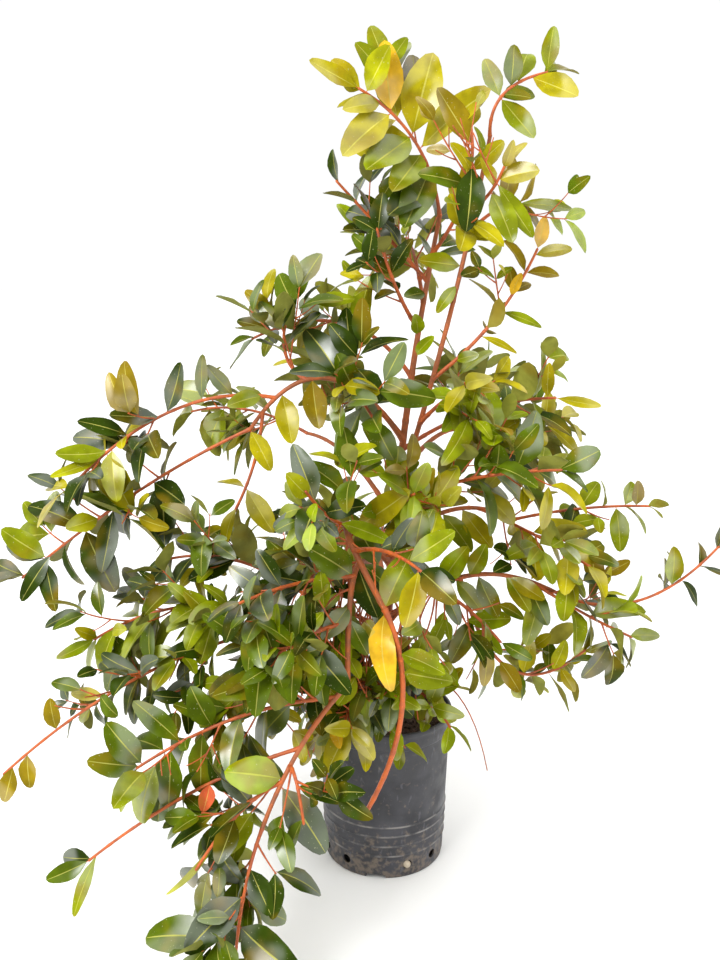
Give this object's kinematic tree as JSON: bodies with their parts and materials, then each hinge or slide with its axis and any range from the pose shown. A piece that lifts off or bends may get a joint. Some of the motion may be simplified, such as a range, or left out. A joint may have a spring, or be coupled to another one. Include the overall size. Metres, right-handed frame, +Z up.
{
  "type": "potted eugenia shrub",
  "caption": "Young eugenia shrub with upright leaders, drooping leafy shoots and reddish stems, growing in a round black nursery pot filled with soil.",
  "frame": {"origin": "middle of the pot's flat underside", "axes": "+Z up along the pot's axis, -Y towards the viewer of the picture, +X to the viewer's right"},
  "size_m": [1.2899, 1.1282, 1.4584],
  "materials": {
    "pot": "satin",
    "soil": "matte",
    "bark": "matte",
    "foliage": "satin"
  },
  "bodies": {
    "root": {"pot": "pot", "soil": "soil", "trunk": "bark", "second_leader": "bark", "left_arch": "bark", "left_low_bough": "bark", "front_arch": "bark", "front_hanging": "bark", "snag_arch": "bark", "right_low_bough": "bark", "right_mid_bough": "bark", "back_left_bough": "bark", "back_right_bough": "bark", "back_low_bough": "bark", "crown_left": "foliage", "crown_centre": "foliage", "crown_low_left": "foliage", "upper_left": "foliage", "upper_back": "foliage", "left_shoulder": "foliage", "middle_front": "foliage", "right_front": "foliage", "right_shoulder": "foliage", "pot_right": "foliage", "pot_front": "foliage", "crown_right": "foliage", "crown_front": "foliage", "upper_right": "foliage", "upper_side": "foliage", "shoulder_front": "foliage", "arch_up": "foliage", "arch_upper": "foliage", "arch_tip": "foliage", "arch_hanging": "foliage", "arch_front": "foliage", "left_upper": "foliage", "left_middle": "foliage", "left_trailing": "foliage", "front_mid_left": "foliage", "front_mid_low": "foliage", "front_left": "foliage", "front_left_low": "foliage", "hanging_tip": "foliage", "hanging_right": "foliage", "hanging_left": "foliage", "front_top": "foliage", "front_centre": "foliage", "snag": "foliage", "right_trailing": "foliage", "right_outer": "foliage", "right_hook": "foliage", "right_inner": "foliage", "right_reaching": "foliage", "right_lower": "foliage", "back_left_tip": "foliage", "back_left_up": "foliage", "back_right_tip": "foliage", "back_right_up": "foliage", "back_low_tip": "foliage", "back_low_left": "foliage"}
  },
  "joints": []
}
